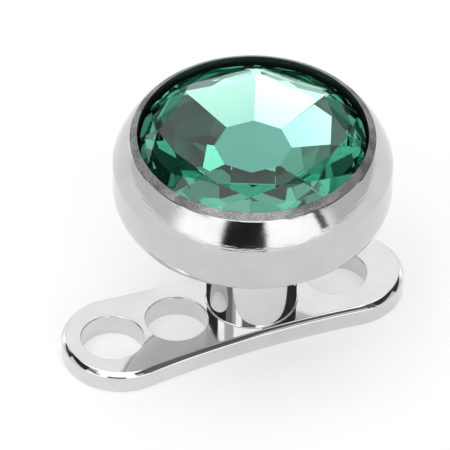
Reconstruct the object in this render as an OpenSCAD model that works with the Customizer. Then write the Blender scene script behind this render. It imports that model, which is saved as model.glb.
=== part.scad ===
// Dermal anchor with a gem-set round top, standing on its plate.
// The origin is on the underside of the plate, on the axis of the post.
// +Z runs up the post, +X to the heel with one hole, -X to the toe with two.

/* [Plate] */
// Thickness of the plate
plate_t = 0.42; // [0.3:0.01:0.8]
// From the post's axis to the centre of the toe's round end
toe_reach = 2.56; // [2.3:0.01:3.6]
// From the post's axis to the centre of the heel's round end
heel_reach = 1.83; // [1.6:0.01:2.8]
// Radius of the two round ends
lobe_r = 1.06; // [1:0.01:1.5]
// How far each long side is drawn in between the round ends
waist_pinch = 0.125; // [0.05:0.005:0.25]

/* [Tissue holes] */
// Diameter of the three holes
hole_d = 1.12; // [0.8:0.01:1.2]
// From the post's axis to the hole at the tip of the toe
toe_tip_hole_x = 2.72; // [2.6:0.01:3.2]
// From the post's axis to the hole at the root of the toe
toe_root_hole_x = 1.47; // [1.42:0.01:1.55]
// From the post's axis to the hole in the heel
heel_hole_x = 1.65; // [1.45:0.01:2.0]

/* [Post] */
// Diameter of the post, 14 gauge
post_d = 1.63; // [1.4:0.01:1.7]
// Height of the post above the plate
rise = 2.16; // [1.5:0.01:4]
// Fillet between the post and the plate
foot_fillet_r = 0.07; // [0.02:0.005:0.1]

/* [Screw pin] */
// Diameter of the pin that joins the top to the post
pin_d = 0.98; // [0.8:0.01:1.1]
// Length of the pin inside the post
pin_reach = 1.6; // [0.8:0.05:2]
// Depth of the pin's socket in the floor of the cup
pin_socket = 0.2; // [0.1:0.01:0.24]
// Free space under the pin at the bottom of the post's bore
bore_relief = 0.2; // [0.1:0.05:0.4]
// Point bevel of the pin
pin_bevel = 0.12; // [0.05:0.01:0.2]

/* [Cup] */
// Diameter of the cup at its widest
cup_d = 5.0; // [4.9:0.05:6]
// Height of the straight band and the rounded corner, up to the shoulder
band_h = 1.12; // [0.8:0.01:1.6]
// Rounding of the cup's lower corner
corner_r = 0.58; // [0.2:0.01:0.75]
// Height of the rounded shoulder above the band
shoulder_h = 0.56; // [0.4:0.01:0.8]
// Width of the rounded shoulder, from the band in to the lip
shoulder_w = 0.30; // [0.2:0.01:0.35]
// Lean of the shoulder where it leaves the band, as a share of its mean lean
shoulder_lean = 0.6; // [0:0.05:0.65]
// Width of the sloping lip, from the shoulder in to the recess
lip_w = 0.13; // [0.08:0.01:0.16]
// Rise of the sloping lip towards the recess
lip_h = 0.09; // [0.03:0.01:0.15]

/* [Stone] */
// Height of the girdle's plain band
girdle_h = 0.08; // [0.05:0.01:0.12]
// Diameter of the table across its corners
table_d = 3.0; // [2:0.05:3.2]
// Height of the crown, from the girdle to the table
crown_h = 0.2; // [0.1:0.01:0.5]
// Depth of the pavilion, from the girdle to the flat
pavilion_h = 0.43; // [0.3:0.01:1.15]
// Width of the flat at the bottom of the stone, across its sides
culet_d = 1.28; // [0.2:0.01:1.6]
// Length of the star facets, as a share of the way from the table to the girdle
star_share = 0.5; // [0.3:0.05:0.7]
// Number of main facets round the crown and round the pavilion
main_facets = 8; // [8:1:12]
// Turn of the stone in its cup
stone_turn = 42; // [0:1:45]
// From the lip down to the upper edge of the girdle
stone_set_down = 0.15; // [0.05:0.01:0.25]

/* [Fits] */
// Gap between the underside of the cup and the end of the post
seat_gap = 0.02; // [0.01:0.005:0.05]
// Radial gap round the pin, in the post and in the cup
pin_gap = 0.02; // [0.01:0.005:0.04]
// Gap between the stone and the seat that holds it
stone_gap = 0.02; // [0.01:0.005:0.04]
// Gap between the stone's girdle and the wall of the recess
girdle_gap = 0.06; // [0.02:0.005:0.1]

/* [Hidden] */
$fn = 96;
// Overlap of shapes that are joined, and overshoot of cuts
join = 0.01;
over = 0.5;

// Plate outline: two round ends joined by two hollow arcs.
// The arcs are tangent to a circle a hair inside each round end, so that they cross its edge at a clear point.
waist_half = lobe_r - waist_pinch;
lobe_span = (toe_reach + heel_reach) / 2;
waist_x = (heel_reach - toe_reach) / 2;
tangent_r = lobe_r - 0.002;
side_arc_r = (lobe_span * lobe_span + waist_half * waist_half - tangent_r * tangent_r)
    / (2 * (tangent_r - waist_half));
side_arc_y = waist_half + side_arc_r;
tangent_x = lobe_span * side_arc_r / (side_arc_r + tangent_r);

// Heights up the post's axis
post_r = post_d / 2;
post_top_z = plate_t + rise;
cup_z = post_top_z + seat_gap;
shoulder_z = cup_z + band_h;
lip_z = shoulder_z + shoulder_h;
cup_top_z = lip_z + lip_h;

// Radii of the cup, from the band in to the recess
cup_r = cup_d / 2;
lip_r = cup_r - shoulder_w;
recess_r = lip_r - lip_w;

// The shoulder is an arc from the band's edge to the lip, and leans in from its start
shoulder_slope = atan(shoulder_w / shoulder_h);
shoulder_start = shoulder_lean * shoulder_slope;
shoulder_r = norm([shoulder_w, shoulder_h]) / (2 * sin(shoulder_slope - shoulder_start));
shoulder_x = cup_r - shoulder_r * cos(shoulder_start);
shoulder_mid_z = shoulder_z - shoulder_r * sin(shoulder_start);

// The pin's ends and holes
pin_r = pin_d / 2;
pin_low_z = post_top_z - pin_reach;
pin_top_z = cup_z + pin_socket;

// The stone's levels
stone_r = recess_r - girdle_gap;
table_r = table_d / 2;
culet_r = culet_d / 2;
girdle_top_z = cup_top_z - stone_set_down;
girdle_low_z = girdle_top_z - girdle_h;
table_z = girdle_top_z + crown_h;
culet_z = girdle_low_z - pavilion_h;
facet_step = 360 / main_facets;

// The tips of the star facets lie where two main facets of the crown meet
half_cos = cos(facet_step / 2);
star_tip_r = table_r * half_cos + star_share * (stone_r - table_r * half_cos);
star_tip_h = crown_h * (stone_r - star_tip_r * half_cos) / (stone_r - table_r);
// Width of the prism that the round girdle is cut from
rim_share = 1.04;

// The cup's hollow follows the ridges between the pavilion's facets
flat_r = culet_r / half_cos;
spread = (stone_r - culet_r) / pavilion_h;
seat_floor_r = flat_r + stone_gap;
seat_floor_z = culet_z - stone_gap;
seat_z = seat_floor_z + (recess_r - seat_floor_r) * half_cos / spread;

// Outline of the plate: two round ends, and a block between them with hollow sides
module plate_outline() {
    for (x = [-toe_reach, heel_reach])
        translate([x, 0]) circle(r = lobe_r);
    difference() {
        translate([waist_x - tangent_x, -lobe_r]) square([2 * tangent_x, 2 * lobe_r]);
        for (side = [-1, 1])
            translate([waist_x, side * side_arc_y]) circle(r = side_arc_r);
    }
}

// Concave ring that rounds the post into the plate
module foot_fillet() {
    reach = min(foot_fillet_r, waist_half - post_r);
    if (reach > 0)
        rotate_extrude()
            difference() {
                translate([post_r - join, plate_t - join]) square(reach + join);
                translate([post_r + reach, plate_t + reach]) circle(r = reach);
            }
}

// Holes that tissue grows through
module tissue_holes() {
    for (x = [-toe_tip_hole_x, -toe_root_hole_x, heel_hole_x])
        translate([x, 0, -over]) cylinder(d = hole_d, h = plate_t + 2 * over);
}

// Plate and post, one piece of steel with a blind bore from the top
module anchor_base() {
    color([0.80, 0.80, 0.80])
        difference() {
            union() {
                linear_extrude(height = plate_t) plate_outline();
                translate([0, 0, plate_t - join]) cylinder(r = post_r, h = rise + join);
                foot_fillet();
            }
            tissue_holes();
            translate([0, 0, pin_low_z - bore_relief])
                cylinder(r = pin_r + pin_gap, h = pin_reach + bore_relief + over);
        }
}

// Plain pin between the post and the cup
module screw_pin() {
    color([0.72, 0.72, 0.74])
        translate([0, 0, pin_low_z]) {
            cylinder(r1 = pin_r - pin_bevel, r2 = pin_r, h = pin_bevel);
            translate([0, 0, pin_bevel]) cylinder(r = pin_r, h = pin_top_z - pin_low_z - pin_bevel);
        }
}

// Right half of the cup's section, as if it were solid
module cup_section() {
    translate([0, cup_z]) square([cup_r - corner_r, band_h]);
    translate([0, cup_z + corner_r]) square([cup_r, band_h - corner_r]);
    translate([cup_r - corner_r, cup_z + corner_r]) circle(r = corner_r);
    intersection() {
        translate([0, shoulder_z - join]) square([cup_r, shoulder_h + join]);
        union() {
            translate([0, shoulder_z - join]) square([shoulder_x, shoulder_h + join]);
            translate([shoulder_x, shoulder_mid_z]) circle(r = shoulder_r);
        }
    }
    polygon([[0, lip_z - join], [lip_r, lip_z - join], [lip_r, lip_z], [recess_r, cup_top_z], [0, cup_top_z]]);
}

// Right half of the hollow's section: a straight recess, then a taper that follows the stone's back
module recess_section() {
    polygon([
        [0, seat_floor_z], [seat_floor_r, seat_floor_z], [recess_r, seat_z],
        [recess_r, cup_top_z + over], [0, cup_top_z + over]]);
}

// Round cup with a seat for the stone and a socket for the pin
module gem_cup() {
    color([0.82, 0.82, 0.82])
        difference() {
            rotate_extrude() difference() {
                cup_section();
                recess_section();
            }
            translate([0, 0, cup_z - over]) cylinder(r = pin_r + pin_gap, h = pin_socket + stone_gap + over);
        }
}

// Ring of points, one for each main facet
function ring(r, z, turn) =
    [for (i = [0:main_facets - 1]) [r * cos(turn + i * facet_step), r * sin(turn + i * facet_step), z]];

// Crown as facets above the girdle's plane, standing on a prism wider than the stone.
// Three rings of corners: the table's, the tips of the star facets, and the girdle's under each main facet.
module crown() {
    n = main_facets;
    half = facet_step / 2;
    fall = star_tip_h / (stone_r - star_tip_r);
    rim_r = stone_r * rim_share;
    rim_h = -(rim_r - stone_r) * fall;
    points = concat(
        ring(table_r, crown_h, 0), ring(star_tip_r, star_tip_h, half), ring(stone_r, 0, 0),
        ring(rim_r, rim_h, 0), ring(rim_r, rim_h, half),
        ring(rim_r, -2 * stone_r, 0), ring(rim_r, -2 * stone_r, half));
    table = [[for (i = [n - 1:-1:0]) i]];
    stars = [for (i = [0:n - 1]) [i, (i + 1) % n, n + i]];
    mains = [for (i = [0:n - 1]) [i, n + i, 2 * n + i, n + (i + n - 1) % n]];
    right = [for (i = [0:n - 1]) [n + i, 4 * n + i, 3 * n + i, 2 * n + i]];
    left = [for (i = [0:n - 1]) [2 * n + i, 3 * n + i, 4 * n + (i + n - 1) % n, n + (i + n - 1) % n]];
    wall_right = [for (i = [0:n - 1]) [3 * n + i, 4 * n + i, 6 * n + i, 5 * n + i]];
    wall_left = [for (i = [0:n - 1]) [4 * n + i, 3 * n + (i + 1) % n, 5 * n + (i + 1) % n, 6 * n + i]];
    foot = [[for (i = [0:n - 1], k = [5, 6]) k * n + i]];
    polyhedron(points, concat(table, stars, mains, right, left, wall_right, wall_left, foot));
}

// Pavilion as one ring of flat facets, widening from the flat at the bottom to past the table
module pavilion() {
    rise_above_flat = table_z - culet_z + join;
    rotate([0, 0, facet_step / 2])
        cylinder(r1 = flat_r, r2 = flat_r + rise_above_flat * spread / half_cos, h = rise_above_flat,
            $fn = main_facets);
}

// Cut stone: a table, a crown of star, main and girdle facets, a round girdle, and a shallow pavilion
module stone() {
    color([0.20, 0.62, 0.50, 0.9])
        rotate([0, 0, stone_turn])
            intersection() {
                // the round's seam is turned away from the facets' middles and ridges
                translate([0, 0, culet_z - join]) rotate([0, 0, facet_step / 8])
                    cylinder(r = stone_r, h = table_z - culet_z + 2 * join);
                translate([0, 0, girdle_top_z]) crown();
                translate([0, 0, culet_z]) pavilion();
            }
}

anchor_base();
screw_pin();
gem_cup();
stone();
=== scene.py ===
"""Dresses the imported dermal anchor: polished steel anchor and cup, and a foiled green crystal.

Sizes are in millimetres in the dataclasses, and are turned to metres where a mesh is written.
"""

import logging
import math
from dataclasses import dataclass, field
from enum import Enum
from typing import Any

import bmesh
import bpy
from mathutils import Matrix, Vector
from mathutils.geometry import delaunay_2d_cdt


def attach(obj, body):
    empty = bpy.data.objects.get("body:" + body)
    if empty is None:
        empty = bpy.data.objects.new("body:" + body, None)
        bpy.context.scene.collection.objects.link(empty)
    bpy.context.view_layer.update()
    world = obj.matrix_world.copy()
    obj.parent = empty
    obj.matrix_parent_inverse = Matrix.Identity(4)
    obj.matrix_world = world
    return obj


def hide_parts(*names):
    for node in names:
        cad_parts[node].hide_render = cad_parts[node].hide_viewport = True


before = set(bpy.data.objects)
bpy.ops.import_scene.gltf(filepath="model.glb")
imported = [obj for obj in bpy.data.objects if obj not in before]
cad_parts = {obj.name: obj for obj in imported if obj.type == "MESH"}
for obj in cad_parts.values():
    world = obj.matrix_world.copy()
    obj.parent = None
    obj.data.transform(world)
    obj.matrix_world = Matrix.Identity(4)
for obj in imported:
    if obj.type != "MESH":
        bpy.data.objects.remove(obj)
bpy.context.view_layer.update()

log = logging.getLogger("dermal_anchor")

MM = 0.001
WELD = 2e-8  # metres, for doubles at poles
WELD_2D = 1e-6  # millimetres, for the fill of a flat face
INSIDE = 1  # has delaunay_2d_cdt keep the triangles inside the outer loop
FINE_DETAIL = 3.0  # octaves of a noise that shows small grains on its big ones
SOFT_DETAIL = 2.0  # octaves of a softer one
ZONE_SLACK = 0.001  # millimetres between a zone's border and the corner that it is meant to take in

Point = tuple[float, float]
Span = tuple[float, float]
Ring = list[bmesh.types.BMVert]
Zones = list[tuple[Any, bpy.types.NodeSocket]]


# Helpers


def linear(hex_colour: str) -> tuple[float, float, float, float]:
    """Turns an sRGB hex colour into linear RGBA.

    Args:
        hex_colour: six hex digits, with or without a leading #.

    Returns:
        Linear red, green and blue, and an alpha of 1.
    """
    digits = hex_colour.lstrip("#")
    channels = [int(digits[i:i + 2], 16) / 255 for i in (0, 2, 4)]
    values = [c / 12.92 if c <= 0.04045 else ((c + 0.055) / 1.055) ** 2.4 for c in channels]
    return (*values, 1.0)


def add(
        tree: bpy.types.NodeTree, kind: str, feeds: dict[Any, Any] | None = None,
        **settings: Any) -> bpy.types.Node:
    """Adds a node, sets its properties, and fills or links its inputs.

    Args:
        tree: the node tree that takes the node.
        kind: the node's type name.
        feeds: input name or number against a value, a socket, or a node whose first output is meant.
        **settings: the node's own properties.

    Returns:
        The new node.
    """
    node = tree.nodes.new(kind)
    for name, value in settings.items():
        setattr(node, name, value)
    for key, value in (feeds or {}).items():
        socket = node.inputs[key] if isinstance(key, int) else next(
            s for s in node.inputs if s.name == key and s.enabled)
        if isinstance(value, bpy.types.Node):
            value = next(s for s in value.outputs if s.enabled)
        if isinstance(value, bpy.types.NodeSocket):
            tree.links.new(value, socket)
        else:
            socket.default_value = value
    return node


def arc(centre: Point, radius: float, start: float, end: float, steps: int) -> list[Point]:
    """Points on an arc, both ends included.

    Args:
        centre: the arc's centre.
        radius: its radius.
        start: first angle in degrees.
        end: last angle in degrees.
        steps: number of chords.

    Returns:
        The points in order.
    """
    angles = [math.radians(start + (end - start) * i / steps) for i in range(steps + 1)]
    return [(centre[0] + radius * math.cos(a), centre[1] + radius * math.sin(a)) for a in angles]


def grain_scale(size: float) -> float:
    """Scale of a noise whose grains are about so many millimetres wide."""
    return 1 / (size * MM)


def new_material(name: str) -> tuple[bpy.types.Material, bpy.types.NodeTree, bpy.types.NodeSocket]:
    """Makes an empty node material.

    Args:
        name: the finish's name.

    Returns:
        The material, its tree and the object coordinates' socket.
    """
    mat = bpy.data.materials.new(name)
    mat.use_nodes = True
    tree = mat.node_tree
    tree.nodes.clear()
    coords = add(tree, "ShaderNodeTexCoord").outputs["Object"]
    return mat, tree, coords


# Finishes


@dataclass(frozen=True)
class PolishedSteel:
    """Surgical stainless steel, mirror polished.

    The eye sees sharp reflections with a faint buffing haze and hair-fine polishing lines.

    Attributes:
        name: the finish's name.
        colour: the metal's colour.
        roughness: roughness where the haze is thinnest.
        haze: how much rougher it is where the haze is thickest.
        haze_size: width of the haze's clouds in millimetres.
        haze_span: noise values between which the roughness rises.
        dim: share of the brightness that is left where the haze is thickest.
        dim_span: noise values between which the brightness falls.
        line_spacing: distance between polishing lines in millimetres.
        line_depth: their depth in millimetres.
        line_stretch: height of a line as a share of its length.
    """

    name: str = "steel_316l_mirror_polished"
    colour: str = "#DDDDDC"
    roughness: float = 0.04
    haze: float = 0.05
    haze_size: float = 0.6
    haze_span: Span = (0.35, 0.75)
    dim: float = 0.94
    dim_span: Span = (0.35, 0.7)
    line_spacing: float = 0.05
    line_depth: float = 0.00002
    line_stretch: float = 0.15

    def build(self) -> bpy.types.Material:
        """Makes the material.

        Returns:
            The finish, ready for a piece's slot.
        """
        mat, tree, coords = new_material(self.name)
        cloud = add(tree, "ShaderNodeTexNoise", {
            "Vector": coords, "Scale": grain_scale(self.haze_size), "Detail": FINE_DETAIL})
        rough = add(tree, "ShaderNodeMapRange", {
            "Value": cloud, "From Min": self.haze_span[0], "From Max": self.haze_span[1],
            "To Min": self.roughness, "To Max": self.roughness + self.haze})
        tone = add(tree, "ShaderNodeMapRange", {
            "Value": cloud, "From Min": self.dim_span[0], "From Max": self.dim_span[1],
            "To Min": 1.0, "To Max": self.dim})
        colour = add(tree, "ShaderNodeVectorMath", {
            0: linear(self.colour)[:3], "Scale": tone}, operation="SCALE")
        # the real polishing lines are finer; these are drawn coarser, so that the render can carry them
        stretch = add(tree, "ShaderNodeMapping", {
            "Vector": coords, "Scale": (self.line_stretch, self.line_stretch, 1.0)})
        lines = add(tree, "ShaderNodeTexNoise", {
            "Vector": stretch, "Scale": grain_scale(self.line_spacing), "Detail": SOFT_DETAIL})
        bump = add(tree, "ShaderNodeBump", {
            "Height": lines, "Strength": 1.0, "Distance": self.line_depth * MM})
        shader = add(tree, "ShaderNodeBsdfPrincipled", {
            "Base Color": colour, "Metallic": 1.0, "Roughness": rough, "Normal": bump})
        add(tree, "ShaderNodeOutputMaterial", {"Surface": shader})
        return mat


@dataclass(frozen=True)
class GroundSteel:
    """The same steel as the grinding wheel leaves it, on the lip round the stone.

    The eye sees a soft grey band with a fine speckle.

    Attributes:
        name: the finish's name.
        colour: its paler tone.
        dark: its darker tone.
        roughness: its roughness.
        grit: width of a grinding mark in millimetres.
        harshness: how strongly the smallest grains of the speckle show.
        patch: width of the paler and darker patches in millimetres.
        tone_span: noise values between which the tone goes from dark to pale.
        depth: depth of the marks in millimetres.
    """

    name: str = "steel_316l_ground"
    colour: str = "#A6A6A4"
    dark: str = "#6E6E6E"
    roughness: float = 0.5
    grit: float = 0.035
    harshness: float = 0.6
    patch: float = 0.315
    tone_span: Span = (0.8, 1.2)
    depth: float = 0.004

    def build(self) -> bpy.types.Material:
        """Makes the material.

        Returns:
            The finish, ready for a piece's slot.
        """
        mat, tree, coords = new_material(self.name)
        # the real grinding marks are finer; these are drawn coarser, so that the speckle shows
        speckle = add(tree, "ShaderNodeTexNoise", {
            "Vector": coords, "Scale": grain_scale(self.grit), "Detail": FINE_DETAIL,
            "Roughness": self.harshness})
        patches = add(tree, "ShaderNodeTexNoise", {
            "Vector": coords, "Scale": grain_scale(self.patch), "Detail": SOFT_DETAIL})
        both = add(tree, "ShaderNodeMath", {0: speckle, 1: patches}, operation="ADD")
        tone = add(tree, "ShaderNodeMapRange", {
            "Value": both, "From Min": self.tone_span[0], "From Max": self.tone_span[1]})
        colour = add(tree, "ShaderNodeMix", {
            "Factor": tone, "A": linear(self.dark), "B": linear(self.colour)}, data_type="RGBA")
        bump = add(tree, "ShaderNodeBump", {
            "Height": speckle, "Strength": 1.0, "Distance": self.depth * MM})
        shader = add(tree, "ShaderNodeBsdfPrincipled", {
            "Base Color": colour, "Metallic": 1.0, "Roughness": self.roughness, "Normal": bump})
        add(tree, "ShaderNodeOutputMaterial", {"Surface": shader})
        return mat


@dataclass(frozen=True)
class PaintedShadeRecess:
    """The unpolished wall between the lip and the stone, given a dark colour that paints the shade in
    the recess.

    The eye sees a dark ring round the stone, whose darkness is painted shade, and which mirrors the
    stone's green a little.

    Attributes:
        name: the finish's name.
        colour: the dark metal colour, painted shade of the recess.
        metal: share of bare metal in it.
        smoothest: least roughness.
        roughest: greatest roughness.
        grain: width of its grain in millimetres.
    """

    name: str = "steel_recess_painted_shade"
    colour: str = "#4E5451"
    metal: float = 0.9
    smoothest: float = 0.2
    roughest: float = 0.45
    grain: float = 0.08

    def build(self) -> bpy.types.Material:
        """Makes the material.

        Returns:
            The finish, ready for a piece's slot.
        """
        mat, tree, coords = new_material(self.name)
        grain = add(tree, "ShaderNodeTexNoise", {
            "Vector": coords, "Scale": grain_scale(self.grain), "Detail": SOFT_DETAIL})
        rough = add(tree, "ShaderNodeMapRange", {
            "Value": grain, "To Min": self.smoothest, "To Max": self.roughest})
        # the dark base colour is painted shade in the recess between the lip and the stone
        shader = add(tree, "ShaderNodeBsdfPrincipled", {
            "Base Color": linear(self.colour), "Metallic": self.metal, "Roughness": rough})
        add(tree, "ShaderNodeOutputMaterial", {"Surface": shader})
        return mat


@dataclass(frozen=True)
class LeadCrystal:
    """Pressed and polished lead crystal, tinted emerald through and through.

    The eye sees clear flat facets, and a colour that deepens with the length of glass looked through.

    Attributes:
        name: the finish's name.
        tint: tone that each pass through the surface gives.
        body: colour of the glass itself.
        depth: its absorption per metre.
        ior: its index of refraction.
    """

    name: str = "crystal_lead_emerald"
    tint: str = "#E9FFF6"
    body: str = "#72CFC2"
    depth: float = 740.0
    ior: float = 1.56

    def build(self) -> bpy.types.Material:
        """Makes the material.

        Returns:
            The finish, ready for a piece's slot.
        """
        mat, tree, _ = new_material(self.name)
        shader = add(tree, "ShaderNodeBsdfPrincipled", {
            "Base Color": linear(self.tint), "Roughness": 0.0, "IOR": self.ior,
            "Transmission Weight": 1.0})
        inside = add(tree, "ShaderNodeVolumeAbsorption", {
            "Color": linear(self.body), "Density": self.depth})
        add(tree, "ShaderNodeOutputMaterial", {"Surface": shader, "Volume": inside})
        return mat


@dataclass(frozen=True)
class MirrorFoil:
    """Vacuum-laid mirror coating on the back facets of the stone.

    The eye sees each back facet as a small mirror behind green glass.
    """

    name: str = "crystal_mirror_foil"
    colour: str = "#F2FBF7"
    roughness: float = 0.0

    def build(self) -> bpy.types.Material:
        """Makes the material.

        Returns:
            The finish, ready for a piece's slot.
        """
        mat, tree, _ = new_material(self.name)
        shader = add(tree, "ShaderNodeBsdfPrincipled", {
            "Base Color": linear(self.colour), "Metallic": 1.0, "Roughness": self.roughness})
        add(tree, "ShaderNodeOutputMaterial", {"Surface": shader})
        return mat


@dataclass(frozen=True)
class PaperSweep:
    """Thick matt paper of the photographer's sweep, lit from behind as well as from above.

    The eye sees a near-white ground on which shadows stay faint, so it glows a little by itself.

    Attributes:
        name: the finish's name.
        colour: the paper's colour.
        light: colour of the light that comes through it.
        roughness: its roughness.
        sheen: strength of its faint gloss.
        glow: brightness of the light that comes through it.
    """

    name: str = "paper_white_sweep"
    colour: str = "#BCBCBC"
    light: str = "#FFFFFF"
    roughness: float = 0.9
    sheen: float = 0.1
    glow: float = 0.5

    def build(self) -> bpy.types.Material:
        """Makes the material.

        Returns:
            The finish, ready for a piece's slot.
        """
        mat, tree, _ = new_material(self.name)
        shader = add(tree, "ShaderNodeBsdfPrincipled", {
            "Base Color": linear(self.colour), "Roughness": self.roughness,
            "Specular IOR Level": self.sheen, "Emission Color": linear(self.light),
            "Emission Strength": self.glow})
        add(tree, "ShaderNodeOutputMaterial", {"Surface": shader})
        return mat


# Pieces


@dataclass
class AnchorBase:
    """Plate and post in one piece of steel, with edges broken by polishing.

    Its values are the source's sizes and the sizes of the polished edges, in millimetres.

    Attributes:
        bevel_bow: angle in degrees that either half of the top bevel turns through.
        support: gap between an edge and the nearest points of the flat beside it, for even shading.
    """

    plate_t: float = 0.42
    toe_reach: float = 2.56
    heel_reach: float = 1.83
    lobe_r: float = 1.06
    waist_pinch: float = 0.125
    hole_r: float = 0.56
    hole_xs: tuple[float, ...] = (-2.72, -1.47, 1.65)
    post_r: float = 0.815
    rise: float = 2.16
    foot_fillet: float = 0.025
    bore_r: float = 0.51
    bore_floor_z: float = 0.78
    top_edge: float = 0.08
    bevel_bow: float = 7.0
    low_edge: float = 0.04
    hole_edge: float = 0.02
    post_edge: float = 0.04
    support: float = 0.004
    lobe_steps: int = 112
    side_steps: int = 72
    hole_steps: int = 96
    post_steps: int = 128
    edge_steps: int = 8
    finish: PolishedSteel = field(default_factory=PolishedSteel)

    def outline(self, inset: float) -> list[Point]:
        """Plate outline, drawn in evenly.

        Args:
            inset: distance in from the plate's widest outline.

        Returns:
            Points in order, counter-clockwise, the same count for every inset.
        """
        waist = self.lobe_r - self.waist_pinch
        span = (self.toe_reach + self.heel_reach) / 2
        middle = (self.heel_reach - self.toe_reach) / 2
        side_r = (span ** 2 + waist ** 2 - self.lobe_r ** 2) / (2 * self.waist_pinch)
        side_y = waist + side_r
        turn = math.degrees(math.atan2(side_y, -span))
        lean = turn - 90
        lobe, side = self.lobe_r - inset, side_r + inset
        rings = (
            arc((self.heel_reach, 0), lobe, -turn, turn, self.lobe_steps),
            arc((middle, side_y), side, -90 + lean, -90 - lean, self.side_steps),
            arc((-self.toe_reach, 0), lobe, 180 - turn, 180 + turn, self.lobe_steps),
            arc((middle, -side_y), side, 90 + lean, 90 - lean, self.side_steps))
        return [p for ring in rings for p in ring[:-1]]

    def edge(self, radius: float) -> list[Point]:
        """Quarter-round edge as (inset, distance from the face) pairs, wall side first."""
        return [(radius - x, radius - y) for x, y in arc((0, 0), radius, 0, 90, self.edge_steps)]

    def bevel(self) -> list[Point]:
        """Bowed ground bevel of the plate's top edge.

        Returns:
            Its (inset, distance from the face) pairs, wall side first.
        """
        size, bow = self.top_edge, math.radians(self.bevel_bow)
        radius = size / math.sqrt(2) / math.sin(bow)
        middle = size / 2 - radius * math.cos(bow) / math.sqrt(2)
        turns = arc((middle, middle), radius, 45 - self.bevel_bow, 45 + self.bevel_bow, self.edge_steps)
        return [(size - x, size - y) for x, y in turns]

    def rim_section(self) -> list[Point]:
        """Section of the plate's edge.

        Returns:
            Its (inset, z) pairs, from the underside up to the top face.
        """
        low = list(reversed(self.edge(self.low_edge)))
        high = [(inset, self.plate_t - gap) for inset, gap in self.bevel()]
        return [
            (self.low_edge + self.support, 0.0), *low,
            (0.0, self.plate_t - self.top_edge - self.support), *high,
            (self.top_edge + self.support, self.plate_t)]

    def hole_section(self) -> list[Point]:
        """Section of a hole's wall.

        Returns:
            Its (radius, z) pairs, from the top face down to the underside.
        """
        low = [(self.hole_r + inset, gap) for inset, gap in self.edge(self.hole_edge)]
        high = [(r, self.plate_t - gap) for r, gap in reversed(low)]
        far = self.hole_r + self.hole_edge + self.support
        return [(far, self.plate_t), *high, *low, (far, 0.0)]

    def post_section(self) -> list[Point]:
        """Section of the post.

        Returns:
            Its (radius, z) pairs, from its foot on the plate, over its top, to its bore's floor.
        """
        foot, soft, steps = self.foot_fillet, self.post_edge, self.edge_steps
        soft_z = self.plate_t + self.rise - soft
        fillet = arc((self.post_r + foot, self.plate_t + foot), foot, 270, 180, steps)
        corner = arc((self.post_r - soft, soft_z), soft, 0, 90, steps)
        mouth = arc((self.bore_r + soft, soft_z), soft, 90, 180, steps)
        floor = self.bore_floor_z
        return [
            (self.post_r + foot + self.support, self.plate_t), *fillet, *corner, *mouth,
            (self.bore_r, floor + self.support), (self.bore_r, floor),
            (self.bore_r - self.support, floor)]

    def build(self) -> bpy.types.Object:
        """Builds the whole piece as one closed mesh.

        Returns:
            The finished piece.
        """
        bm = bmesh.new()
        under, over = tube(bm, [(self.outline(inset), z) for inset, z in self.rim_section()])
        lows, highs = [under], [over]
        for x in self.hole_xs:
            high, low = tube(bm, [
                (circle((x, 0), r, self.hole_steps), z) for r, z in self.hole_section()])
            highs.append(high)
            lows.append(low)
        foot, bottom = tube(bm, [
            (circle((0, 0), r, self.post_steps), z) for r, z in self.post_section()])
        highs.append(foot)
        bm.faces.new(bottom)
        fill_flat(bm, lows)
        fill_flat(bm, highs)
        bmesh.ops.recalc_face_normals(bm, faces=bm.faces)
        bm.transform(Matrix.Scale(MM, 4))
        return new_object("anchor_base_steel", bm, [self.finish.build()])


def circle(centre: Point, radius: float, steps: int) -> list[Point]:
    """Points round a whole circle, the first not repeated."""
    return arc(centre, radius, 0, 360, steps)[:-1]


def tube(bm: bmesh.types.BMesh, levels: list[tuple[list[Point], float]]) -> tuple[Ring, Ring]:
    """Adds a wall of quads through a stack of rings.

    Args:
        bm: the mesh that takes the wall.
        levels: each ring's points and its height, all with the same count of points.

    Returns:
        The first ring and the last, whose far sides stay open.
    """
    rings = [[bm.verts.new((x, y, z)) for x, y in points] for points, z in levels]
    for low, high in zip(rings, rings[1:]):
        for i, vert in enumerate(low):
            j = (i + 1) % len(low)
            bm.faces.new((vert, low[j], high[j], high[i]))
    return rings[0], rings[-1]


def fill_flat(bm: bmesh.types.BMesh, loops: list[Ring]) -> None:
    """Fills a flat face that has holes in it.

    Args:
        bm: the mesh that takes the face.
        loops: the outer loop first, then the loops of the holes.
    """
    verts = [vert for loop in loops for vert in loop]
    starts = [sum(len(loop) for loop in loops[:i]) for i in range(len(loops))]
    edges = [(start + i, start + (i + 1) % len(loop))
             for start, loop in zip(starts, loops) for i in range(len(loop))]
    owner = [number for number, loop in enumerate(loops) for _ in loop]
    _, _, faces, origins, _, _ = delaunay_2d_cdt(
        [vert.co.to_2d() for vert in verts], edges, [], INSIDE, WELD_2D)
    for face in faces:
        corners = [origins[i][0] for i in face]
        owners = {owner[i] for i in corners}
        if owners == {0} or len(owners) > 1:  # a triangle on one inner loop alone lies in a hole
            bm.faces.new([verts[i] for i in corners])


def new_object(name: str, bm: bmesh.types.BMesh, finishes: list[bpy.types.Material]) -> bpy.types.Object:
    """Makes a smooth-shaded object from a bmesh and links it to the scene.

    Args:
        name: the piece's name.
        bm: its faces in metres, freed here.
        finishes: its materials in slot order.

    Returns:
        The new object.
    """
    for face in bm.faces:
        face.smooth = True
    mesh = bpy.data.meshes.new(name)
    bm.to_mesh(mesh)
    bm.free()
    for finish in finishes:
        mesh.materials.append(finish)
    piece = bpy.data.objects.new(name, mesh)
    bpy.context.scene.collection.objects.link(piece)
    return piece


class Socket(Enum):
    """Kinds of input that a geometry tree of this object has."""

    SHAPE = "NodeSocketGeometry"
    LENGTH = "NodeSocketFloat"
    COUNT = "NodeSocketInt"
    FINISH = "NodeSocketMaterial"


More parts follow.
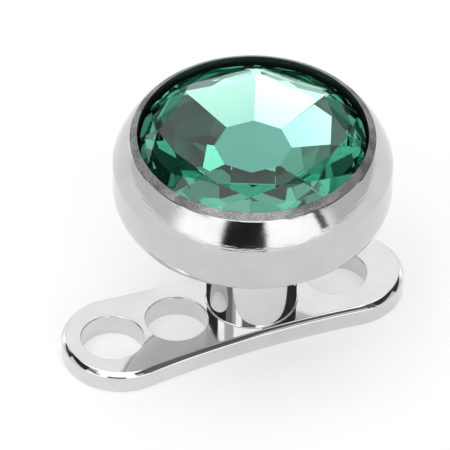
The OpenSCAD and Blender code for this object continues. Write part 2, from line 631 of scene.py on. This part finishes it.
@dataclass
class ShapeTree:
    """A geometry node tree with named inputs, and the modifier that runs it on a piece."""

    name: str
    tree: bpy.types.NodeTree = field(init=False)
    inlet: bpy.types.Node = field(init=False)
    values: dict[str, Any] = field(init=False, default_factory=dict)

    def __post_init__(self) -> None:
        """Starts an empty tree."""
        self.tree = bpy.data.node_groups.new(self.name, "GeometryNodeTree")
        self.tree.interface.new_socket("Shape", in_out="OUTPUT", socket_type=Socket.SHAPE.value)
        self.inlet = add(self.tree, "NodeGroupInput")

    def take(self, name: str, kind: Socket, value: Any = None) -> bpy.types.NodeSocket:
        """Adds a named input.

        Args:
            name: the input's name.
            kind: its kind.
            value: what the modifier gives it.

        Returns:
            The input's socket inside the tree.
        """
        item = self.tree.interface.new_socket(name, in_out="INPUT", socket_type=kind.value)
        if value is not None:
            self.values[item.identifier] = value
        return next(s for s in self.inlet.outputs if s.identifier == item.identifier)

    def run(
            self, source: bpy.types.Object, name: str, shape: bpy.types.Node,
            zones: Zones) -> bpy.types.Object:
        """Ends the tree, runs it on an object and makes the result a plain mesh.

        Args:
            source: the object that carries the modifier, removed here.
            name: the finished piece's name.
            shape: the node whose first output is the shape.
            zones: where each finish goes, as a selection or True for all, and the finish, in order.

        Returns:
            The finished piece.
        """
        last = add(self.tree, "GeometryNodeRealizeInstances", {"Geometry": shape})
        for where, finish in zones:
            last = add(self.tree, "GeometryNodeSetMaterial", {
                "Geometry": last, "Selection": where, "Material": finish})
        add(self.tree, "NodeGroupOutput", {"Shape": last})
        modifier = source.modifiers.new(self.name, "NODES")
        modifier.node_group = self.tree
        for identifier, value in self.values.items():
            modifier[identifier] = value
        bpy.context.view_layer.update()
        graph = bpy.context.evaluated_depsgraph_get()
        mesh = bpy.data.meshes.new_from_object(source.evaluated_get(graph), depsgraph=graph)
        mesh.name = name
        if mesh.materials[0] is None:  # the blank slot of a shape that starts without a finish
            mesh.materials.pop(index=0)
        bpy.data.objects.remove(source)
        piece = bpy.data.objects.new(name, mesh)
        bpy.context.scene.collection.objects.link(piece)
        return piece


@dataclass
class GemCup:
    """Turned steel cup: rounded band and shoulder, ground lip, recess and tapered seat.

    Its values are the source's sizes and the width of the softened edges, in millimetres.

    Attributes:
        shoulder_lean: share of the shoulder's slope that its bow already has where the band ends.
    """

    low_z: float = 2.60
    cup_r: float = 2.5
    band_h: float = 1.12
    corner_r: float = 0.58
    shoulder_h: float = 0.56
    shoulder_w: float = 0.30
    shoulder_lean: float = 0.6
    lip_w: float = 0.13
    lip_h: float = 0.09
    socket_r: float = 0.51
    socket_depth: float = 0.22
    seat_z: float = 4.084
    floor: Point = (0.713, 3.69)
    soft_edge: float = 0.02
    arc_steps: int = 32
    steps_round: int = 320
    # its turning marks are drawn deeper and coarser than the real ones, so that they show; its colour is
    # a darker copy of the plate's steel, painted shade on the cup's band and flanks
    polish: PolishedSteel = field(default_factory=lambda: PolishedSteel(
        "steel_316l_turned_polished_painted_shade", "#C9C9C8", roughness=0.06, haze=0.09, line_depth=0.003))
    ground: GroundSteel = field(default_factory=GroundSteel)
    # the recess's dark finish is painted shade
    recess: PaintedShadeRecess = field(default_factory=PaintedShadeRecess)

    @property
    def lip_z(self) -> float:
        """Height of the lip's outer edge, where the shoulder ends."""
        return self.low_z + self.band_h + self.shoulder_h

    @property
    def inner_r(self) -> float:
        """Radius of the recess."""
        return self.cup_r - self.shoulder_w - self.lip_w

    def section(self) -> list[Point]:
        """Right half of the cup's section.

        Returns:
            Its (radius, z) pairs, from the pin's socket round to the seat's floor.
        """
        top = self.low_z + self.band_h
        lip_z, inner_r = self.lip_z, self.inner_r
        lip_r = self.cup_r - self.shoulder_w
        slope = math.atan2(self.shoulder_w, self.shoulder_h)
        start = self.shoulder_lean * slope
        bow = math.hypot(self.shoulder_w, self.shoulder_h) / (2 * math.sin(slope - start))
        middle = (self.cup_r - bow * math.cos(start), top - bow * math.sin(start))
        roof = self.low_z + self.socket_depth
        peak = lip_z + self.lip_h
        corner = (self.cup_r - self.corner_r, self.low_z + self.corner_r)
        soft = self.soft_edge
        soft_rise = soft * self.lip_h / self.lip_w / 2
        return [
            (0.0, roof), (self.socket_r, roof),
            (self.socket_r, self.low_z + soft), (self.socket_r + soft, self.low_z),
            (corner[0] - soft, self.low_z),
            *arc(corner, self.corner_r, -90, 0, self.arc_steps),
            (self.cup_r, top - soft),
            *arc(middle, bow, math.degrees(start), math.degrees(2 * slope - start), self.arc_steps),
            (lip_r - soft / 2, lip_z + soft_rise), (inner_r + soft / 2, peak - soft_rise),
            (inner_r, peak), (inner_r, peak - soft),
            (inner_r, self.seat_z + soft), (inner_r, self.seat_z), self.floor, (0.0, self.floor[1])]

    def draw(self) -> bpy.types.Object:
        """Draws the section as a curve.

        Returns:
            The curve's object.
        """
        section = self.section()
        line = bpy.data.curves.new("cup_section", "CURVE")
        line.dimensions = "3D"
        spline = line.splines.new("POLY")
        spline.points.add(len(section) - 1)
        for point, (r, z) in zip(spline.points, section):
            point.co = (r * MM, z * MM, 0.0, 1.0)
        source = bpy.data.objects.new("cup_section", line)
        bpy.context.scene.collection.objects.link(source)
        return source

    def turn(self, shape: ShapeTree) -> bpy.types.Node:
        """Turns the section about the post's axis.

        Args:
            shape: the tree that takes the nodes.

        Returns:
            The node that ends the turned shape.
        """
        tree = shape.tree
        drawn = shape.take("Section", Socket.SHAPE)
        steps = shape.take("Steps round", Socket.COUNT, self.steps_round)
        path = add(tree, "GeometryNodeCurvePrimitiveCircle", {"Resolution": steps, "Radius": MM})
        # the path's radius of 1 mm is taken off the section again, and along the path
        # a section's own up points down
        inward = add(tree, "GeometryNodeTransform", {
            "Geometry": drawn, "Translation": (-MM, 0.0, 0.0), "Scale": (1.0, -1.0, 1.0)})
        turned = add(tree, "GeometryNodeCurveToMesh", {"Curve": path, "Profile Curve": inward})
        outward = add(tree, "GeometryNodeFlipFaces", {"Mesh": turned})
        welded = add(tree, "GeometryNodeMergeByDistance", {"Geometry": outward, "Distance": WELD})
        return add(tree, "GeometryNodeSetShadeSmooth", {"Geometry": welded, "Shade Smooth": True})

    def zones(self, shape: ShapeTree) -> Zones:
        """Sorts the cup's faces by where they lie.

        Args:
            shape: the tree that takes the nodes.

        Returns:
            The polish for all, then the ground lip, then the recess and its seat.
        """
        tree = shape.tree
        lip_low = shape.take("Lip outer height", Socket.LENGTH, (self.lip_z + ZONE_SLACK) * MM)
        recess_out = shape.take("Recess radius", Socket.LENGTH, (self.inner_r + ZONE_SLACK) * MM)
        floor_z = shape.take("Seat floor height", Socket.LENGTH, (self.floor[1] - ZONE_SLACK) * MM)
        polish = shape.take("Polish", Socket.FINISH, self.polish.build())
        ground = shape.take("Ground lip", Socket.FINISH, self.ground.build())
        # the recess and its seat take the dark finish of painted shade
        recess = shape.take("Recess", Socket.FINISH, self.recess.build())
        parts = add(tree, "ShaderNodeSeparateXYZ", {0: add(tree, "GeometryNodeInputPosition")})
        flat = add(tree, "ShaderNodeCombineXYZ", {0: parts.outputs[0], 1: parts.outputs[1]})
        reach = add(tree, "ShaderNodeVectorMath", {0: flat}, operation="LENGTH").outputs["Value"]
        height = parts.outputs[2]
        is_lip = add(tree, "FunctionNodeCompare", {0: height, 1: lip_low}, operation="GREATER_THAN")
        is_in = add(tree, "FunctionNodeCompare", {0: reach, 1: recess_out}, operation="LESS_THAN")
        is_up = add(tree, "FunctionNodeCompare", {0: height, 1: floor_z}, operation="GREATER_THAN")
        is_recess = add(tree, "FunctionNodeBooleanMath", {0: is_in, 1: is_up}, operation="AND")
        return [(True, polish), (is_lip, ground), (is_recess, recess)]

    def build(self) -> bpy.types.Object:
        """Turns the drawn section and gives each zone its finish."""
        shape = ShapeTree("turned_on_the_lathe")
        return shape.run(self.draw(), "gem_cup_steel", self.turn(shape), self.zones(shape))


@dataclass
class CutStone:
    """Round cut crystal with a table, a low crown, a scalloped girdle and a shallow foiled pavilion.

    Its lengths are the source's, in millimetres.

    Attributes:
        star_share: share of the way from the table to the girdle that the star facets take.
        facets: main facets of the crown, and as many of the back.
        turn: bearing of one corner of the table in degrees.
        girdle_steps: points of the girdle in each quarter of a main facet.
        back_facing: facets whose normal's upward part is below this are foiled.
        flat_down: facets whose normal's upward part is below this get the darker, slightly rough foil.
    """

    girdle_r: float = 2.01
    girdle_top_z: float = 4.22
    girdle_h: float = 0.08
    table_r: float = 1.5
    crown_h: float = 0.20
    pavilion_h: float = 0.43
    culet_r: float = 0.64
    star_share: float = 0.5
    facets: int = 8
    turn: float = 42.0
    girdle_steps: int = 12
    back_facing: float = 0.05
    flat_down: float = -0.999
    glass: LeadCrystal = field(default_factory=LeadCrystal)
    foil: MirrorFoil = field(default_factory=MirrorFoil)
    # a darker, slightly rough foil on the flat facet at the back
    flat_foil: MirrorFoil = field(default_factory=lambda: MirrorFoil("crystal_darker_flat_foil", "#A0CCC7", 0.06))

    def star_tip(self) -> Point:
        """Finds where a star facet meets two main facets of the crown.

        Returns:
            The point's radius, and its height above the girdle.
        """
        half = math.cos(math.pi / self.facets)
        tip_r = self.table_r * half + self.star_share * (self.girdle_r - self.table_r * half)
        return tip_r, self.crown_h * (self.girdle_r - tip_r * half) / (self.girdle_r - self.table_r)

    def corner_rings(self, shape: ShapeTree) -> list[bpy.types.Node]:
        """Sets the corners of the table, the star facets and the flat at the back on rings.

        Args:
            shape: the tree that takes the nodes.

        Returns:
            The node that ends each ring.
        """
        tree = shape.tree
        count = shape.take("Main facets", Socket.COUNT, self.facets)
        half_turn = math.pi / self.facets
        turn = math.radians(self.turn)
        low_z = self.girdle_top_z - self.girdle_h
        star_r, star_h = self.star_tip()
        corners = (
            ("Table", self.table_r, self.girdle_top_z + self.crown_h, turn),
            ("Star tip", star_r, self.girdle_top_z + star_h, turn + half_turn),
            ("Culet", self.culet_r / math.cos(half_turn), low_z - self.pavilion_h, turn + half_turn))
        rings = []
        for name, radius, z, angle in corners:
            reach = shape.take(f"{name} radius", Socket.LENGTH, radius * MM)
            height = shape.take(f"{name} height", Socket.LENGTH, z * MM)
            corner_ring = add(tree, "GeometryNodeMeshCircle", {"Vertices": count, "Radius": reach})
            lift = add(tree, "ShaderNodeCombineXYZ", {2: height})
            rings.append(add(tree, "GeometryNodeTransform", {
                "Geometry": corner_ring, "Translation": lift, "Rotation": (0.0, 0.0, angle)}))
        return rings

    def girdle_rings(self, shape: ShapeTree) -> list[bpy.types.Node]:
        """Draws both edges of the round girdle, which wave as the facets next to them cut into it.

        Args:
            shape: the tree that takes the nodes.

        Returns:
            The node that ends each edge's ring.
        """
        tree = shape.tree
        round_count = shape.take("Girdle points", Socket.COUNT, self.facets * 4 * self.girdle_steps)
        girdle_r = shape.take("Girdle radius", Socket.LENGTH, self.girdle_r * MM)
        half_turn = math.pi / self.facets
        quarter = half_turn / 2
        turn = math.radians(self.turn)
        star_r, star_h = self.star_tip()
        upper_slope = star_h / (self.girdle_r - star_r) / math.cos(quarter)
        lower_slope = self.pavilion_h / (self.girdle_r - self.culet_r)
        edges = (
            (self.girdle_top_z, turn + quarter, quarter, math.cos(quarter), -upper_slope),
            (self.girdle_top_z - self.girdle_h, turn, half_turn, 1.0, lower_slope))
        parts = add(tree, "ShaderNodeSeparateXYZ", {0: add(tree, "GeometryNodeInputPosition")})
        bearing = add(tree, "ShaderNodeMath", {
            0: parts.outputs[1], 1: parts.outputs[0]}, operation="ARCTAN2")
        rings = []
        for z, middle, half_width, level, slope in edges:
            offset = add(tree, "ShaderNodeMath", {0: bearing, 1: half_width - middle}, operation="ADD")
            within = add(tree, "ShaderNodeMath", {
                0: offset, 1: half_width * 2, 2: 0.0}, operation="WRAP")
            centred = add(tree, "ShaderNodeMath", {0: within, 1: -half_width}, operation="ADD")
            swell = add(tree, "ShaderNodeMath", {0: centred}, operation="COSINE")
            over = add(tree, "ShaderNodeMath", {0: swell, 1: -level}, operation="ADD")
            dip = add(tree, "ShaderNodeMath", {
                0: over, 1: slope * self.girdle_r * MM}, operation="MULTIPLY")
            level_ring = add(tree, "GeometryNodeMeshCircle", {
                "Vertices": round_count, "Radius": girdle_r})
            shift = add(tree, "ShaderNodeCombineXYZ", {2: dip})
            waved = add(tree, "GeometryNodeSetPosition", {"Geometry": level_ring, "Offset": shift})
            rings.append(add(tree, "GeometryNodeTransform", {
                "Geometry": waved, "Translation": (0.0, 0.0, z * MM)}))
        return rings

    def build(self) -> bpy.types.Object:
        """Sets rings of corners with geometry nodes and closes them with flat facets.

        Returns:
            The finished piece.
        """
        blank = bpy.data.objects.new("stone_seed", bpy.data.meshes.new("stone_seed"))
        bpy.context.scene.collection.objects.link(blank)
        shape = ShapeTree("facets_round_an_axis")
        tree = shape.tree
        joined = add(tree, "GeometryNodeJoinGeometry")
        for ring in reversed(self.corner_rings(shape) + self.girdle_rings(shape)):
            tree.links.new(ring.outputs[0], joined.inputs[0])
        hull = add(tree, "GeometryNodeConvexHull", {"Geometry": joined})
        sharp = add(tree, "GeometryNodeSetShadeSmooth", {"Geometry": hull, "Shade Smooth": False})
        facing = add(tree, "ShaderNodeSeparateXYZ", {0: add(tree, "GeometryNodeInputNormal")})
        is_back = add(tree, "FunctionNodeCompare", {
            0: facing.outputs[2], 1: self.back_facing}, operation="LESS_THAN")
        is_flat = add(tree, "FunctionNodeCompare", {
            0: facing.outputs[2], 1: self.flat_down}, operation="LESS_THAN")
        return shape.run(blank, "stone_crystal", sharp, [
            (True, shape.take("Glass", Socket.FINISH, self.glass.build())),
            (is_back, shape.take("Foil", Socket.FINISH, self.foil.build())),
            # the flat back facet takes the darker foil
            (is_flat, shape.take("Darker flat foil", Socket.FINISH, self.flat_foil.build()))])


# Studio


@dataclass(frozen=True)
class Flag:
    """A dark or bright panel of the light tent, far off round the object.

    Attributes:
        bearing: middle of the panel, degrees round the object from the camera to the picture's right.
        half_width: half its width in degrees.
        low: lower edge in degrees above the horizon.
        high: upper edge in degrees.
        tone: brightness of the panel.
        soft: softness of its edges in degrees.
    """

    bearing: float
    half_width: float
    low: float
    high: float
    tone: float
    soft: float = 2.0


@dataclass
class Studio:
    """White light tent, pale floor and a long lens at the photograph's angle.

    Lengths are in millimetres and angles in degrees.

    Attributes:
        azimuth: how far round the object the camera stands.
        elevation: how far it looks down.
        roll: how far it is turned about its own axis.
        distance: from the camera to the target.
        pixels_per_mm: scale of the picture at the target.
        frame_px: width of the picture.
        target: point of the post's axis that the camera is aimed by.
        target_px: where the picture shows that point.
        film_width: width of the camera's film.
        nearest: nearest distance that the camera sees.
        farthest: farthest distance that it sees.
        floor_half: half the floor's width.
        tent: brightness of the tent overhead.
        horizon: its brightness at the horizon.
        horizon_rise: height at which it reaches the brightness overhead.
        mirror_bounces: how often light is followed off a mirror, or through glass.
        all_bounces: how often it is followed in all.
        flags: the panels, each over those before it.
    """

    azimuth: float = -23.92
    elevation: float = 42.53
    roll: float = 0.50
    distance: float = 300.0
    pixels_per_mm: float = 55.87
    frame_px: float = 450.0
    target: tuple[float, float, float] = (0.0, 0.0, 2.0)
    target_px: Point = (252.06, 232.18)
    film_width: float = 36.0
    nearest: float = 10.0
    farthest: float = 50000.0
    floor_half: float = 3000.0
    tent: float = 1.75
    horizon: float = 1.7
    horizon_rise: float = 40.0
    mirror_bounces: int = 12
    all_bounces: int = 16
    flags: tuple[Flag, ...] = (
        # the columns are bearing, half width, lower edge, upper edge, tone and softness
        # behind the object: seen in the plate's top, the stone's table and its flat
        Flag(180, 16, 33, 50, 1.10, 4.0),
        # overhead: the stone's white fan and its mint fan
        Flag(-72, 45, 63.5, 82, 2.8, 1.5),
        Flag(70, 40, 60, 82, 1.45, 3.0),
        # low at both sides: the greyer flanks of the cup
        Flag(96, 34, -20, 30, 0.72, 9.0),
        Flag(-94, 34, -20, 27, 0.80, 9.0),
        # the camera and its operator: the dark block on the front of the cup's shoulder
        Flag(-6, 17, -5, 39, 0.02, 2.5),
        # a stand beside the camera: the short dark mark to the right of that block
        Flag(56, 3.2, 4, 48, 0.01, 0.8),
        # all round: dark and pale facets of the stone, and dark lines in the plate's bevel and the post
        Flag(180, 42, 6, 25, 0.30, 3.0),
        Flag(118.5, 16.5, 12, 36, 0.04, 2.0),
        Flag(143, 8, 20, 37, 0.60, 1.5),
        Flag(133, 33, 37, 54, 0.03, 2.0),
        Flag(-131, 33, 37, 56, 0.03, 2.5),
        Flag(-145.5, 5, 18, 34, 0.12, 1.5),
        Flag(-130, 9, 57, 66, 0.90, 2.0),
        Flag(130, 8, 58, 68, 2.60, 2.0),
        Flag(-166, 12, 51, 68, 0.06, 3.0),
        Flag(54, 10, 30, 51, 0.15, 3.0),
        Flag(42, 12, 40, 51, 0.10, 2.0),
        Flag(61, 7, 52, 58, 0.15, 1.5),
        Flag(38, 6, 31.5, 39, 0.50, 1.5),
        Flag(-45, 7, 30.5, 40, 0.65, 1.5),
        Flag(-62, 14, 46, 52, 0.70, 1.5),
        Flag(-56, 9, 32, 45, 0.25, 3.0),
        Flag(-86, 22, 25, 45, 0.03, 1.5),
        Flag(-107, 6, 14, 38, 0.04, 1.5),
        Flag(-118, 8, 12, 24.5, 0.08, 1.0),
        Flag(-121, 5, 25.5, 36, 2.0, 1.0),
        Flag(180, 14, 45.2, 58, 0.05, 1.2),
        Flag(88, 26, 25, 54, 0.04, 1.5),
    )

    def directions(self) -> tuple[Vector, Vector, Vector]:
        """Works out how the camera is turned.

        Returns:
            Its forward, right and up directions.
        """
        a, e, r = (math.radians(v) for v in (self.azimuth, self.elevation, self.roll))
        forward = Vector((-math.sin(a) * math.cos(e), math.cos(a) * math.cos(e), -math.sin(e)))
        right = Vector((math.cos(a), math.sin(a), 0.0))
        up = right.cross(forward)
        return forward, right * math.cos(r) + up * math.sin(r), up * math.cos(r) - right * math.sin(r)

    def camera(self) -> bpy.types.Object:
        """Makes the camera and gives it to the scene.

        Returns:
            The camera.
        """
        forward, right, up = self.directions()
        middle = self.frame_px / 2
        aim = Vector(self.target)
        aim -= right * ((self.target_px[0] - middle) / self.pixels_per_mm)
        aim += up * ((self.target_px[1] - middle) / self.pixels_per_mm)
        data = bpy.data.cameras.new("studio_camera")
        data.sensor_width = self.film_width
        data.lens = data.sensor_width * self.distance * self.pixels_per_mm / self.frame_px
        data.clip_start = self.nearest * MM
        data.clip_end = self.farthest * MM
        camera = bpy.data.objects.new("studio_camera", data)
        bpy.context.scene.collection.objects.link(camera)
        turn = Matrix((right, up, -forward)).transposed().to_4x4()
        camera.matrix_world = Matrix.Translation((aim - forward * self.distance) * MM) @ turn
        bpy.context.scene.camera = camera
        return camera

    def floor(self) -> bpy.types.Object:
        """Makes the pale floor that the plate stands on.

        Returns:
            The floor.
        """
        bm = bmesh.new()
        bmesh.ops.create_grid(bm, x_segments=1, y_segments=1, size=self.floor_half * MM)
        floor = new_object("paper_floor", bm, [PaperSweep().build()])
        return floor

    def tent_light(self) -> None:
        """Paints the light tent on the world: white all round, with the flags over it."""
        world = bpy.data.worlds.new("light_tent")
        bpy.context.scene.world = world
        world.use_nodes = True
        tree = world.node_tree
        tree.nodes.clear()
        where = add(tree, "ShaderNodeTexCoord").outputs["Generated"]
        parts = add(tree, "ShaderNodeSeparateXYZ", {0: where})
        bearing = add(tree, "ShaderNodeMath", {
            0: parts.outputs[1], 1: parts.outputs[0]}, operation="ARCTAN2")
        height = add(tree, "ShaderNodeMath", {0: parts.outputs[2]}, operation="ARCSINE")

        def zone(value: Any, low: float, high: float, soft: float) -> bpy.types.Node:
            """Marks a span of angles, all of them in radians.

            Args:
                value: the angle that is looked at.
                low: where the span starts.
                high: where it ends.
                soft: half the width of either soft edge.

            Returns:
                The node that gives 1 in the span and 0 beyond.
            """
            rise = add(tree, "ShaderNodeMapRange", {
                "Value": value, "From Min": low - soft, "From Max": low + soft},
                interpolation_type="SMOOTHSTEP")
            fall = add(tree, "ShaderNodeMapRange", {
                "Value": value, "From Min": high - soft, "From Max": high + soft,
                "To Min": 1.0, "To Max": 0.0}, interpolation_type="SMOOTHSTEP")
            return add(tree, "ShaderNodeMath", {0: rise, 1: fall}, operation="MULTIPLY")

        tone: Any = add(tree, "ShaderNodeMapRange", {
            "Value": height, "From Min": 0.0, "From Max": math.radians(self.horizon_rise),
            "To Min": self.horizon, "To Max": self.tent}, interpolation_type="SMOOTHSTEP")
        for flag in self.flags:
            # the camera stands at azimuth - 90 degrees from +X
            middle = math.radians(self.azimuth - 90 + flag.bearing)
            shifted = add(tree, "ShaderNodeMath", {0: bearing, 1: -middle}, operation="ADD")
            around = add(tree, "ShaderNodeMath", {0: shifted, 1: math.pi, 2: -math.pi}, operation="WRAP")
            wide, soft = math.radians(flag.half_width), math.radians(flag.soft)
            across = zone(around, -wide, wide, soft)
            upward = zone(height, math.radians(flag.low), math.radians(flag.high), soft)
            cover = add(tree, "ShaderNodeMath", {0: across, 1: upward}, operation="MULTIPLY")
            tone = add(tree, "ShaderNodeMix", {"Factor": cover, "A": tone, "B": flag.tone})
        light = add(tree, "ShaderNodeBackground", {"Color": (1.0, 1.0, 1.0, 1.0), "Strength": tone})
        add(tree, "ShaderNodeOutputWorld", {"Surface": light})

    def build(self) -> None:
        """Makes the floor, the light and the camera, and sets plain colour handling."""
        self.floor()
        self.tent_light()
        self.camera()
        scene = bpy.context.scene
        scene.view_settings.view_transform = "Standard"
        scene.view_settings.look = "None"
        # light goes to and fro many times between the stone's foil and its crown
        scene.cycles.glossy_bounces = self.mirror_bounces
        scene.cycles.transmission_bounces = self.mirror_bounces
        scene.cycles.max_bounces = self.all_bounces


def set_in_frame(piece: bpy.types.Object, node: str) -> None:
    """Sets a finished piece in the frame in a node's stead.

    Args:
        piece: the finished object.
        node: the CAD node that it stands for.
    """
    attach(piece, "root")
    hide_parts(node)
    log.info("%s: %d faces, in place of %s", piece.name, len(piece.data.polygons), node)


def main() -> None:
    """Builds the studio and the pieces."""
    logging.basicConfig(level=logging.INFO, format="%(name)s %(message)s")
    Studio().build()
    set_in_frame(AnchorBase().build(), "anchor_base")
    set_in_frame(GemCup().build(), "gem_cup")
    set_in_frame(CutStone().build(), "stone")
    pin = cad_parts["screw_pin"]
    pin.data.materials.clear()
    pin.data.materials.append(PolishedSteel(name="steel_316l_pin").build())
    log.info("screw_pin: packed solid kept, hidden in the post")


if __name__ == "__main__":
    main()
